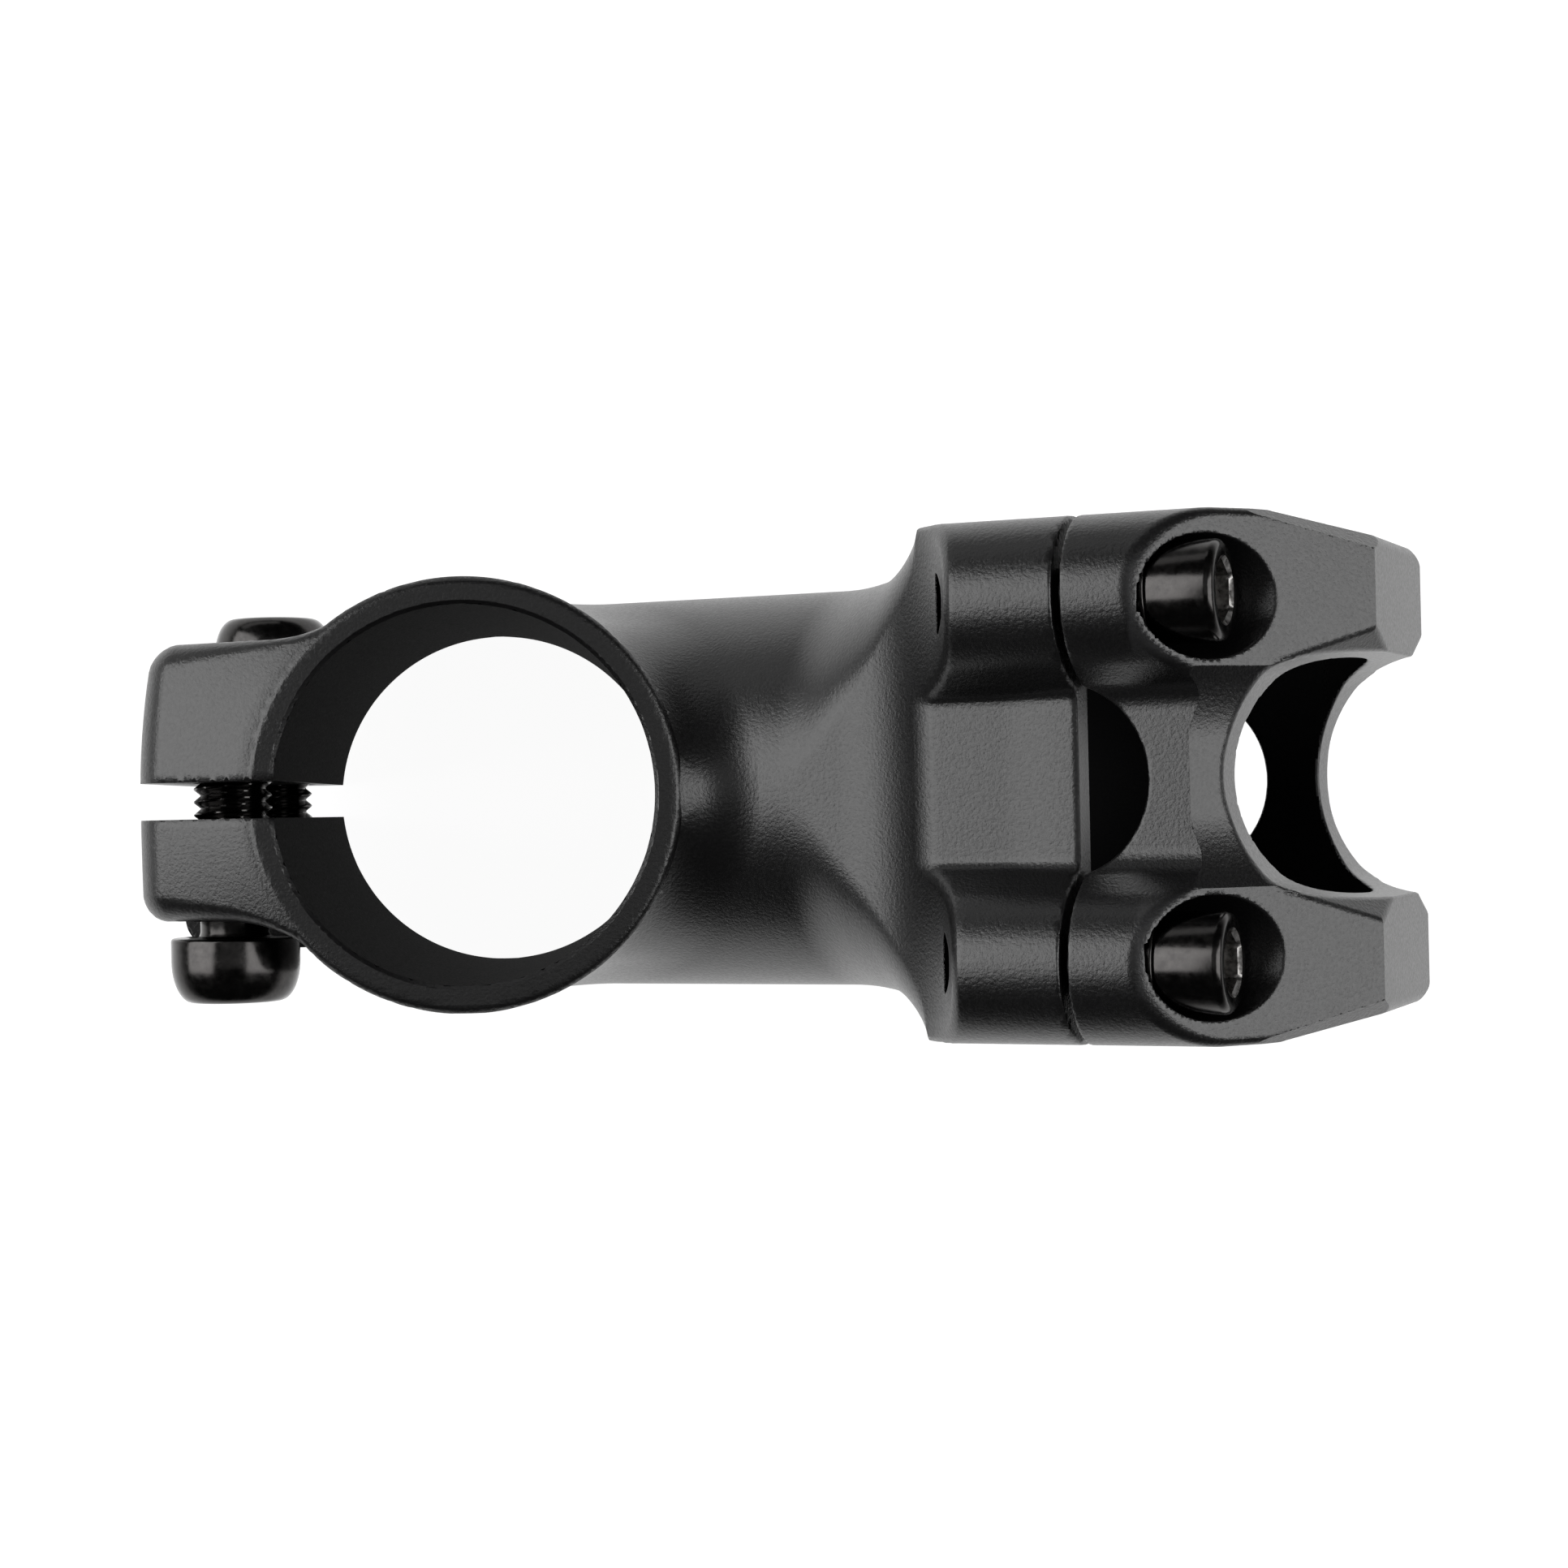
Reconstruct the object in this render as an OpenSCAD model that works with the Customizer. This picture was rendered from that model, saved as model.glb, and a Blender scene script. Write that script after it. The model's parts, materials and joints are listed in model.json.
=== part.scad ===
// Threadless handlebar stem with a raised extension and a four-bolt faceplate.
// Origin: centre of the steerer bore at mid height.
// +Z up the steerer, +X towards the bar, +Y to the rider's left.

/* [Steerer clamp] */
// Bore for the steerer tube
steerer_d = 28.6; // [25.4:0.1:31.8]
// Wall of the steerer ring
steerer_wall = 2.1; // [1.8:0.1:3.5]
// Height of the steerer ring
steerer_h = 41; // [38:0.5:46]
// Chamfer at both mouths of the steerer bore
rim_chamfer = 0.5; // [0.2:0.1:0.8]
// Break of the ring's outer edges
rim_round = 0.5; // [0.2:0.1:0.8]
// Width of the pinch slot
slot_w = 2.8; // [1.5:0.1:3.2]
// How far the tops of the pinch ears start below each end face of the ring
ear_drop = 0.8; // [0.6:0.1:2]
// Fall of the ears' tops towards the back, in degrees
ear_fall = 18; // [5:1:22]
// Ear thickness on a bolt's head side, from the slot's middle
ear_head_side = 9.2; // [8:0.1:10]
// Ear thickness on a bolt's threaded side, from the slot's middle
ear_thread_side = 12; // [11.5:0.1:13]
// Metal between the steerer bore and a pinch bolt
pinch_wall = 1.45; // [1.2:0.05:2.5]
// Metal behind a pinch bolt's axis
ear_back = 6.5; // [5:0.05:7]
// Corner radius at the back of the ears
ear_corner = 2; // [1:0.1:3]
// How much the back of an ear leans in towards its threaded side
ear_lean = 0.9; // [0:0.1:1.5]
// Fillet between an ear and the ring
ear_fillet = 7; // [4:0.5:9]

/* [Extension] */
// Steerer axis to bar axis, along the extension
reach = 58; // [54:1:90]
// Rise of the extension from square to the steerer
rise = 25; // [15:1:30]
// Diameter of the extension
tube_d = 31.4; // [29:0.5:32]

/* [Bar clamp] */
// Bore for the handlebar
bar_d = 31.8; // [25.4:0.1:35]
// Wall over and under the bar
bar_wall = 2.5; // [2:0.1:4]
// Width of the bar clamp along the bar
clamp_w = 37.4; // [35:0.1:44]
// Gap between stem body and faceplate
split_gap = 0.6; // [0.4:0.1:1.2]
// Length of the flat pad behind the split
pad_len = 12.6; // [11:0.1:16]
// Half width of the flat pads between the bosses
pad_half = 6; // [5:0.1:6.4]
// Depth of the tapped holes behind the split
tap_len = 11.2; // [10.5:0.1:12]
// Length of the clamp's full width behind the split
shoulder_len = 12.2; // [11:0.1:13]
// Slant of the shoulders behind that, from the extension's direction
shoulder_angle = 56; // [50:1:65]
// Radius of a bolt boss
boss_r = 5.9; // [5.6:0.1:6.4]
// Length of a tapped boss behind the split
boss_len = 8.6; // [7:0.1:11]
// Metal over a tapped hole
boss_roof = 2.05; // [1.5:0.05:3]
// Rounding at both ends of the drum round the bar
drum_round = 3; // [1.5:0.1:4]
// Metal between the bar bore and a faceplate bolt hole
bolt_wall = 0.95; // [0.8:0.05:3]

/* [Faceplate] */
// Wall in front of the bar
front_wall = 2.9; // [2.4:0.1:4]
// Half height of the flat nose
nose_half = 8.2; // [7:0.1:11]
// Flat land of a boss beside the split
land = 4.7; // [3:0.1:5.5]
// Wall of the two cross bridges over the bar
bridge_wall = 2.2; // [1.8:0.1:3]
// Half width of the channel's floor between the bolt lobes
channel_half = 6; // [5:0.1:7]
// Width of the window between the two front ribs
window_w = 17.8; // [14:0.1:19]
// How far the bridges reach in front of the bar axis
bridge_reach = 9.5; // [8.5:0.1:11]
// Radius of the bridges' front edge in plan
bridge_edge_r = 10.6; // [9.6:0.1:14]
// Half width of the scallop at the split
scallop_half = 6.6; // [4:0.1:7]
// Depth of the scallop at the split
scallop_depth = 4.4; // [2:0.1:5]
// How much each side of the faceplate tapers towards its front corner
side_taper = 1.3; // [0.5:0.1:2.5]
// Sideways cut at each front corner of the lobes
corner_cut = 2; // [1:0.1:3]
// Depth of the front corner cut along the extension
corner_len = 1.9; // [1:0.1:3]
// Inner cut beside the window on the nose of the lobes
nose_cut = 1.8; // [0.5:0.1:2.5]
// Metal under a bolt's washer
seat_wall = 4.9; // [4:0.1:6]

/* [Faceplate bolts] */
// Thread diameter
fb_thread_d = 5; // [4:0.5:6]
// Thread pitch
fb_pitch = 0.8; // [0.7:0.05:1]
// Head diameter
fb_head_d = 7.2; // [7:0.1:7.6]
// Head height
fb_head_h = 4.8; // [4:0.1:5.5]
// Size of the hexagon socket
fb_hex = 4; // [3:0.5:4]
// Bolt length under the head
fb_len = 15; // [14:0.1:15.5]
// Washer thickness
fb_washer_t = 0.8; // [0.6:0.1:1.2]
// Rounding of the head's top edge
fb_round = 0.6; // [0.3:0.1:1]
// Depth of the hexagon socket
fb_socket = 2.6; // [2:0.1:3]
// Plain neck under the head
fb_neck = 2; // [1:0.1:3]
// Room round a head in its pocket
fb_pocket_clear = 0.75; // [0.4:0.05:0.9]

/* [Steerer bolts] */
// Thread diameter
sb_thread_d = 6; // [5:0.5:6]
// Thread pitch
sb_pitch = 1; // [0.8:0.1:1]
// Head diameter
sb_head_d = 9.9; // [9:0.1:10.2]
// Head height
sb_head_h = 5; // [4.5:0.1:6]
// Size of the hexagon socket
sb_hex = 5; // [4:0.5:5]
// Bolt length under the head
sb_len = 20; // [19:0.1:20.5]
// Rounding of the head's top edge
sb_round = 1.6; // [0.5:0.1:2]
// Depth of the hexagon socket
sb_socket = 3; // [2:0.1:3.5]
// Plain neck under the head
sb_neck = 4; // [2:0.1:5]
// Height of a bolt's axis above or below the middle of the ring
sb_height = 11; // [9:0.1:12]
// Gap left under each head while the bolts are loose
sb_backoff = 1.4; // [0:0.1:2]

/* [Hidden] */
$fn = 96;

eps = 0.01;
overlap = 1;
far = 200;
thread_clear = 0.05;
hole_clear = 0.3;
washer_clear = 0.15;
spot_clear = 0.6;
fillet_bite = 0.02;
flank_bite = 0.15;
socket_lead = 0.1;
thread_depth = 0.54;
thread_half_depth = 0.325;

ring_r = steerer_d / 2 + steerer_wall;
pinch_x = steerer_d / 2 + pinch_wall + sb_thread_d / 2;
ear_x = pinch_x + ear_back;
ear_top = steerer_h / 2 - ear_drop;

tube_r = tube_d / 2;
axis_drop = ring_r * tan(rise);

bar_r = bar_d / 2;
pad_u = bar_r + bar_wall;
half_w = clamp_w / 2;
bolt_y = half_w - boss_r;
bolt_u = bar_r + bolt_wall + fb_thread_d / 2 + thread_clear;
boss_top = bolt_u + fb_thread_d / 2 + thread_clear + boss_roof;
boss_u = boss_top - boss_r;
face_front = bar_r + front_wall;
body_face = -split_gap / 2;
plate_face = split_gap / 2;

slope_run = face_front - (plate_face + land);
slope_fall = boss_top - nose_half;
slope_angle = atan2(slope_run, slope_fall);
scallop_r = (pow(scallop_half, 2) + pow(scallop_depth, 2)) / (2 * scallop_depth);
washer_seat = plate_face + seat_wall;
head_face = washer_seat + fb_washer_t + fb_head_h;
pocket_r = fb_head_d / 2 + fb_pocket_clear;

aluminium_black = [0.09, 0.09, 0.095];
steel_black = [0.05, 0.05, 0.055];

// Places children in the bar clamp's frame: +X out along the extension, origin on the bar axis.
module at_bar() {
  translate([0, 0, -axis_drop]) rotate([0, -rise, 0]) translate([reach, 0, 0]) children();
}

// Places children on a faceplate bolt's axis, +Z pointing out of the head.
module at_faceplate_bolt(side, row) {
  at_bar() translate([0, side * bolt_y, row * bolt_u]) rotate([0, 90, 0]) children();
}

// Places children on a steerer bolt's axis, +Z pointing out of the head, origin in the slot's middle.
module at_steerer_bolt(row) {
  translate([-pinch_x, 0, row * sb_height]) rotate([row * 90, 0, 0]) children();
}

// Closes an outline with its mirror image in y.
function mirrored(half) = concat(half, [for (i = [len(half) - 1:-1:0]) [half[i][0], -half[i][1]]]);

// Box in the bar clamp's frame from corner a to corner b.
module span(a, b) {
  translate(a) cube(b - a);
}

// Steerer ring with its outer edges broken, still solid inside.
module steerer_ring() {
  half_h = steerer_h / 2;
  rotate_extrude() polygon([
    [0, -half_h], [ring_r - rim_round, -half_h], [ring_r, -half_h + rim_round],
    [ring_r, half_h - rim_round], [ring_r - rim_round, half_h], [0, half_h]
  ]);
}

// Outline of the two ears seen from above, with the thread side at +Y.
module ear_outline() {
  lean_x = -ear_x + ear_lean;
  difference() {
    union() {
      polygon([
        [-ear_x, 0], [lean_x, ear_thread_side - ear_corner], [lean_x + ear_corner, ear_thread_side],
        [0, ear_thread_side], [0, -ear_head_side],
        [-ear_x + ear_corner, -ear_head_side], [-ear_x, -ear_head_side + ear_corner]
      ]);
      translate([lean_x + ear_corner, ear_thread_side - ear_corner]) circle(ear_corner);
      translate([-ear_x + ear_corner, -ear_head_side + ear_corner]) circle(ear_corner);
      ear_fillet_fill(ear_thread_side);
      mirror([0, 1]) ear_fillet_fill(ear_head_side);
    }
    circle(steerer_d / 2);
  }
}

// Fills the corner between an ear's outer face at y = edge and the ring, up to a concave fillet.
module ear_fillet_fill(edge) {
  cy = edge + ear_fillet - fillet_bite;
  cx = -sqrt(pow(ring_r + ear_fillet - fillet_bite, 2) - pow(cy, 2));
  difference() {
    polygon([[cx, edge - overlap], [0, edge - overlap], [0, 0], [cx, cy]]);
    translate([cx, cy]) circle(ear_fillet);
    translate([0, -far / 2]) square(far);
  }
}

// Side view of the upper half of the ears, level beside the ring and falling towards the back.
module ear_profile() {
  back = ear_x + overlap;
  polygon([
    [0, -overlap], [0, ear_top], [-ring_r, ear_top],
    [-back, ear_top - (back - ring_r) * tan(ear_fall)], [-back, -overlap]
  ]);
}

// Pinch ears: the upper half has its bolt head at -Y, the lower half at +Y.
module pinch_ears() {
  for (row = [-1, 1]) rotate([row < 0 ? 180 : 0, 0, 0]) intersection() {
    linear_extrude(steerer_h / 2) ear_outline();
    rotate([90, 0, 0]) linear_extrude(far, center = true) ear_profile();
  }
}

// Extension from the steerer axis to the bar axis.
module extension() {
  at_bar() rotate([0, -90, 0]) cylinder(r = tube_r, h = reach);
}

// Cross-section of the bar clamp seen along the extension, x along the bar and y up: cheeks, a round boss at
// each corner, and flat pads whose edges rise along flat flanks into the bosses.
module clamp_section() {
  edge = [pad_half, pad_u];
  to_axis = [bolt_y, boss_u] - edge;
  touch_r = boss_r - flank_bite;
  flank_len = sqrt(pow(norm(to_axis), 2) - pow(touch_r, 2));
  flank_angle = asin(touch_r / norm(to_axis)) + atan2(to_axis[1], to_axis[0]);
  half = [[bolt_y, boss_u], edge + flank_len * [cos(flank_angle), sin(flank_angle)], edge];
  polygon(mirrored(concat(half, [for (i = [len(half) - 1:-1:0]) [-half[i][0], half[i][1]]])));
  square([clamp_w, 2 * boss_u], center = true);
  for (side = [-1, 1], row = [-1, 1]) translate([side * bolt_y, row * boss_u]) circle(boss_r);
}

// Extrudes a section along the extension, from distance a to distance b from the bar axis.
module along_reach(a, b) {
  at_bar() translate([a, 0, 0]) rotate([90, 0, 90]) linear_extrude(b - a) children();
}

// Distance along the extension of the slope behind the bosses and pads, at height u over the bar axis.
function slope_n(u) = -boss_len + (u - boss_top) * (pad_len - boss_len) / (boss_top - pad_u);

// Distance along the extension of the slanted shoulders, at y along the bar.
function shoulder_n(y) = -shoulder_len + (y - half_w) / tan(shoulder_angle);

// Side view of the rear half of the bar clamp, whose slope ends inside the extension.
module body_clamp_profile() {
  low = tube_r / 2;
  top = boss_top + overlap;
  polygon(mirrored([[slope_n(low), low], [slope_n(top), top], [body_face, top]]));
}

// Plan view of the rear half of the bar clamp, whose shoulders end inside the extension.
module body_clamp_plan() {
  low = tube_r / 2;
  top = half_w + overlap;
  polygon(mirrored([[shoulder_n(low), low], [shoulder_n(top), top], [body_face, top]]));
}

// Half of the bar clamp that is forged with the extension.
module body_clamp() {
  intersection() {
    along_reach(slope_n(0), body_face) clamp_section();
    at_bar() rotate([90, 0, 0]) linear_extrude(far, center = true) body_clamp_profile();
    at_bar() linear_extrude(far, center = true) body_clamp_plan();
  }
  difference() {
    at_bar() rotate([90, 0, 0]) rounded_drum(pad_u, clamp_w, drum_round);
    at_bar() span([body_face, -far / 2, -far / 2], [far, far / 2, far / 2]);
  }
}

// Drum of radius r and length h about Z, centred, with its edges rounded.
module rounded_drum(r, h, edge) {
  rotate_extrude() intersection() {
    union() {
      square([2 * (r - edge), h], center = true);
      for (end = [-1, 1]) translate([r - edge, end * (h / 2 - edge)]) circle(edge);
      square([2 * r, h - 2 * edge], center = true);
    }
    translate([0, -h / 2]) square([r, h]);
  }
}

// Holes of one steerer bolt: clearance and spot face on the head side, tapped through the other ear.
module steerer_bolt_holes(row) {
  at_steerer_bolt(row) {
    cylinder(r = sb_thread_d / 2 + hole_clear, h = far / 2);
    translate([0, 0, ear_head_side]) cylinder(r = sb_head_d / 2 + spot_clear, h = far / 2);
    translate([0, 0, -far / 2]) cylinder(r = sb_thread_d / 2 + thread_clear, h = far / 2);
  }
}

// Forged body: steerer clamp, extension and the rear half of the bar clamp.
module stem_body() {
  color(aluminium_black) difference() {
    union() {
      steerer_ring();
      pinch_ears();
      extension();
      body_clamp();
    }
    cylinder(r = steerer_d / 2, h = far, center = true);
    for (end = [0, 1]) mirror([0, 0, end]) translate([0, 0, steerer_h / 2 - rim_chamfer])
      cylinder(r1 = steerer_d / 2, r2 = steerer_d / 2 + rim_chamfer + eps, h = rim_chamfer + eps);
    translate([-far, -slot_w / 2, -far / 2]) cube([far, slot_w, far]);
    for (row = [-1, 1]) steerer_bolt_holes(row);
    at_bar() rotate([90, 0, 0]) cylinder(r = bar_r, h = far, center = true);
    for (side = [-1, 1], row = [-1, 1])
      at_faceplate_bolt(side, row) translate([0, 0, -tap_len])
        cylinder(r = fb_thread_d / 2 + thread_clear, h = tap_len + overlap);
  }
}

// Side view of the faceplate: a land beside the split, a slope and a flat nose.
module faceplate_profile() {
  half = [[plate_face, boss_top], [plate_face + land, boss_top], [face_front, nose_half]];
  polygon(mirrored(half));
}

// Plan view of the faceplate with tapered sides and cut front corners.
module faceplate_plan() {
  half = [
    [plate_face, half_w], [head_face, half_w],
    [face_front - corner_len, half_w - side_taper], [face_front, half_w - side_taper - corner_cut]
  ];
  polygon(mirrored(half));
}

// Section of the channel between the lobes: x away from the bar axis, square to the slope.
module channel_section() {
  floor_x = bar_r + bridge_wall;
  polygon(mirrored([[floor_x, channel_half], [far, channel_half + far - floor_x]]));
}

// Plan view of the window: straight between the ribs, with the bridges' round front edge behind it.
module window_plan() {
  centre = bridge_reach + bridge_edge_r;
  intersection() {
    union() {
      translate([centre, 0]) circle(bridge_edge_r);
      translate([centre, -bridge_edge_r]) square([far, 2 * bridge_edge_r]);
    }
    translate([0, -window_w / 2]) square([far, window_w]);
  }
}

// Plan view of the bevels that open the window towards the front.
module nose_bevel() {
  start = face_front - nose_cut;
  polygon(mirrored([[start, window_w / 2], [far, window_w / 2 + far - start]]));
}

// Removable faceplate with four bolt lobes, a window and two cross bridges.
module faceplate() {
  color(aluminium_black) difference() {
    intersection() {
      along_reach(plate_face, face_front) clamp_section();
      at_bar() rotate([90, 0, 0]) linear_extrude(far, center = true) faceplate_profile();
      at_bar() linear_extrude(far, center = true) faceplate_plan();
    }
    // Bar bore
    at_bar() rotate([90, 0, 0]) cylinder(r = bar_r, h = far, center = true);
    // Channel with sloping sides that lowers the bridges between the lobes
    for (row = [-1, 1]) at_bar() mirror([0, 0, row < 0 ? 1 : 0]) rotate([0, -slope_angle, 0])
      linear_extrude(far, center = true) channel_section();
    // Window between the ribs
    at_bar() linear_extrude(far, center = true) window_plan();
    // Bevels beside the window on the nose
    at_bar() linear_extrude(far, center = true) nose_bevel();
    // Scallops at the split
    at_bar() translate([plate_face + scallop_depth - scallop_r, 0, 0])
      cylinder(r = scallop_r, h = far, center = true);
    // Bolt holes and head pockets
    for (side = [-1, 1], row = [-1, 1]) at_faceplate_bolt(side, row) {
      cylinder(r = fb_thread_d / 2 + hole_clear, h = far);
      translate([0, 0, washer_seat]) cylinder(r = pocket_r, h = far);
    }
  }
}

// Ridged rod of outer diameter d from z = -length up to z = 0, with a plain neck under the head.
module threaded_rod(d, pitch, length, plain) {
  depth = thread_depth * pitch;
  neck_r = d / 2 - thread_half_depth * pitch;
  turns = floor((length - plain) / pitch);
  lead = length - plain - turns * pitch;
  rotate_extrude() polygon(concat(
    [[0, -length], [d / 2 - depth, -length], [d / 2 - depth, -length + lead]],
    [for (i = [0:turns - 1], step = [0.5, 1])
      [step < 1 ? d / 2 : d / 2 - depth, -length + lead + (i + step) * pitch]],
    [[neck_r, -plain + pitch / 2], [neck_r, 0], [0, 0]]
  ));
}

// Socket head from z = 0 to z = height, with its top edge rounded and a chamfered hexagon socket.
module socket_head(d, height, hex, round, socket_depth) {
  corner_r = hex / sqrt(3);
  mouth_r = corner_r + socket_lead;
  lead_h = mouth_r - hex / 2;
  difference() {
    union() {
      cylinder(r = d / 2, h = height - round);
      rotate_extrude() intersection() {
        union() {
          square([d / 2 - round, height]);
          translate([d / 2 - round, height - round]) circle(round);
        }
        square([d / 2, height]);
      }
    }
    translate([0, 0, height - socket_depth]) cylinder(r = corner_r, h = socket_depth + overlap, $fn = 6);
    translate([0, 0, height - lead_h]) cylinder(r1 = hex / 2, r2 = mouth_r + eps, h = lead_h + eps);
  }
}

// Bolt that holds one corner of the faceplate.
module faceplate_bolt(side, row) {
  color(steel_black) at_faceplate_bolt(side, row) translate([0, 0, washer_seat + fb_washer_t]) {
    socket_head(fb_head_d, fb_head_h, fb_hex, fb_round, fb_socket);
    threaded_rod(fb_thread_d, fb_pitch, fb_len, fb_neck);
  }
}

// Washer under a faceplate bolt's head.
module faceplate_washer(side, row) {
  color(steel_black) at_faceplate_bolt(side, row) translate([0, 0, washer_seat]) difference() {
    cylinder(r = fb_head_d / 2, h = fb_washer_t);
    translate([0, 0, -eps]) cylinder(r = fb_thread_d / 2 + washer_clear, h = fb_washer_t + 2 * eps);
  }
}

// Bolt that pinches the steerer ring.
module steerer_bolt(row) {
  color(steel_black) at_steerer_bolt(row) translate([0, 0, ear_head_side + sb_backoff]) {
    socket_head(sb_head_d, sb_head_h, sb_hex, sb_round, sb_socket);
    threaded_rod(sb_thread_d, sb_pitch, sb_len, sb_neck);
  }
}

stem_body();
faceplate();
faceplate_bolt(1, 1);  // faceplate_bolt_upper_left
faceplate_bolt(-1, 1);  // faceplate_bolt_upper_right
faceplate_bolt(1, -1);  // faceplate_bolt_lower_left
faceplate_bolt(-1, -1);  // faceplate_bolt_lower_right
faceplate_washer(1, 1);  // faceplate_washer_upper_left
faceplate_washer(-1, 1);  // faceplate_washer_upper_right
faceplate_washer(1, -1);  // faceplate_washer_lower_left
faceplate_washer(-1, -1);  // faceplate_washer_lower_right
steerer_bolt(1);  // steerer_bolt_upper
steerer_bolt(-1);  // steerer_bolt_lower
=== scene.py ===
"""Looks of a threadless handlebar stem: blasted black body and faceplate with black steel bolts.

Shapes are worked out in millimetres in the part's own frame and go into the meshes in metres.
The body and the faceplate are forged shapes full of blends, so each is a distance function, negative
inside the metal, whose zero surface becomes the mesh. Bolts and washers are profiles turned about an axis.
"""
import json
import math

import bpy
import numpy as np
from mathutils import Matrix, Vector


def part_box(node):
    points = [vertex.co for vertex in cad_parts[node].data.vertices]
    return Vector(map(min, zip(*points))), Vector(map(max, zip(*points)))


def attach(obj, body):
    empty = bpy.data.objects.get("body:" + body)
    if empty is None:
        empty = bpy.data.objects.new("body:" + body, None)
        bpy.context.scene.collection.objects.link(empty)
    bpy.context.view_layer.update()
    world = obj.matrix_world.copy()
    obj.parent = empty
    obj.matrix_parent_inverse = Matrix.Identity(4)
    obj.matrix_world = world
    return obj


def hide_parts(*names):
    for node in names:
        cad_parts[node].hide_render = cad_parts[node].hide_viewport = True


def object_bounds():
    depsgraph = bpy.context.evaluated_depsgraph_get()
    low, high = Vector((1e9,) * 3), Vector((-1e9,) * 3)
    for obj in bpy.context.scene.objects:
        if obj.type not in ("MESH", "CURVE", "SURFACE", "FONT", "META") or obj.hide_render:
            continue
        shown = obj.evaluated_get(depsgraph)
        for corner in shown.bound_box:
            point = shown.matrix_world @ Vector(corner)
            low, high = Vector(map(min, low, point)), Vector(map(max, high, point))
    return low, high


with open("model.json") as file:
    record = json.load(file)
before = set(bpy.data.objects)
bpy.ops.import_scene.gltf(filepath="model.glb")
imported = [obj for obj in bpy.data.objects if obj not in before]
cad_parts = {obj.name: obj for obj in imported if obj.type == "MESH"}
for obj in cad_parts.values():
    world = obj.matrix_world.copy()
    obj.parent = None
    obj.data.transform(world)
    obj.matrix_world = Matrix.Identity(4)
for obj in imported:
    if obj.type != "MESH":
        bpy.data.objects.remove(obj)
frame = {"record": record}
cad_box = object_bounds()

MM = 0.001
MOUNTS = {mount["name"]: mount for mount in frame["record"]["mounts"]}
JOINTS = {joint["name"]: joint for joint in frame["record"]["behaviour"]["joints"]}


def node_box(node):
    """Lowest and highest corner of a CAD node, in millimetres."""
    low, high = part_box(node)
    return np.array(low) / MM, np.array(high) / MM


# Steerer clamp
BODY_LOW, BODY_HIGH = node_box("stem_body")
STEERER_R = MOUNTS["steerer_clamp"]["dims"]["r_mm"]
RING_HALF = MOUNTS["top_face"]["pos_m"][2] / MM
RING_WALL = 2.1
RING_R = STEERER_R + RING_WALL
RIM_ROUND = 0.7
RIM_CHAMFER = 0.3
SLOT_HALF = 1.4
SLOT_EDGE = 0.2
EAR_BACK = -BODY_LOW[0]
EAR_FALL_START = RING_R - 0.3
EAR_FALL = math.radians(22)
EAR_CREASE = 0.5
EAR_THREAD_SIDE = 12.0
EAR_HEAD_SIDE = 9.2
EAR_LEAN = 1.1
EAR_CORNER = 2.2
EAR_ROUND = 2.6
EAR_PLAN_FILLET = 7.0
EAR_STEP = 0.6

# Pinch bolts
PINCH_LOW, PINCH_HIGH = node_box("steerer_bolt_upper")
PINCH_X, _, PINCH_Z = (PINCH_LOW + PINCH_HIGH) / 2
PINCH_HEAD_R = (PINCH_HIGH[2] - PINCH_LOW[2]) / 2
PINCH_HEAD_H = 5.0
PINCH_SHOULDER_R = 1.6
PINCH_SHOULDER_H = 3.2
PINCH_FOOT = 0.25
PINCH_LENGTH = PINCH_HIGH[1] - PINCH_LOW[1] - PINCH_HEAD_H
PINCH_SEAT = -PINCH_LOW[1] - PINCH_HEAD_H
PINCH_R = 3.0
PINCH_PITCH = 1.0
PINCH_NECK = 4.0
PINCH_HEX = 5.0
PINCH_SOCKET = 3.0
PINCH_HOLE_R = 3.3
PINCH_TAP_R = 3.05
SPOT_R = PINCH_HEAD_R + 0.6
SPOT_GAP = 0.05

# Bar clamp frame: n along the extension, y along the bar, u square to both
BAR = np.array(MOUNTS["bar_clamp"]["pos_m"]) / MM
BAR_R = MOUNTS["bar_clamp"]["dims"]["r_mm"]
HALF_WIDTH = MOUNTS["bar_clamp"]["dims"]["length_mm"] / 2
FORWARD = np.array(JOINTS["faceplate_lift"]["axis"])
ACROSS = np.array([0.0, 1.0, 0.0])
UPWARD = np.array([-FORWARD[2], 0.0, FORWARD[0]])
REACH = BAR[0] / FORWARD[0]
SEAT = np.array(JOINTS["bolt_turn_upper_left"]["pos_m"]) / MM - BAR
SEAT_N = SEAT @ FORWARD
BOLT_Y = SEAT[1]
BOLT_U = SEAT @ UPWARD

# Extension and rear half of the bar clamp
TUBE_R = 15.7
ROOT_FILLET = 6.0
ROOT_REACH = 3.8
ROOT_SINK = 3.2
ROOT_SINK_END = 0.4
STEEPEST_LEAN = 0.97
TUBE_END = BAR_R / 2
TUBE_CORE = 1.0
PAD_U = BAR_R + 2.5
FLARE_START = 19.9
FLARE_R = 12.5
SPREAD_START = 18.3
SPREAD_R = 6.0
CORNER_START = 25.0
CORNER_END = 13.0
FLARE_CORNER = 4.0
FLARE_LIMIT = 0.98
FLARE_LEAST = 0.3
RIDGE_ROUND = 0.7
DRUM_R = PAD_U - 0.1
DRUM_ROUND = 3.0
DRUM_FILLET = 1.5
DRUM_LEAN = 0.3
SPLIT = 0.3
SPLIT_EDGE = 0.2
BORE_EDGE = 0.35
BOSS_R = 5.9
BOSS_U = 18.1
BOSS_TOP = BOSS_U + BOSS_R
PAD_HALF = 6.0
PAD_CREASE = 1.0
FLANK_ANGLE = math.asin(BOSS_R / math.hypot(BOLT_Y - PAD_HALF, BOSS_U - PAD_U))
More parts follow.
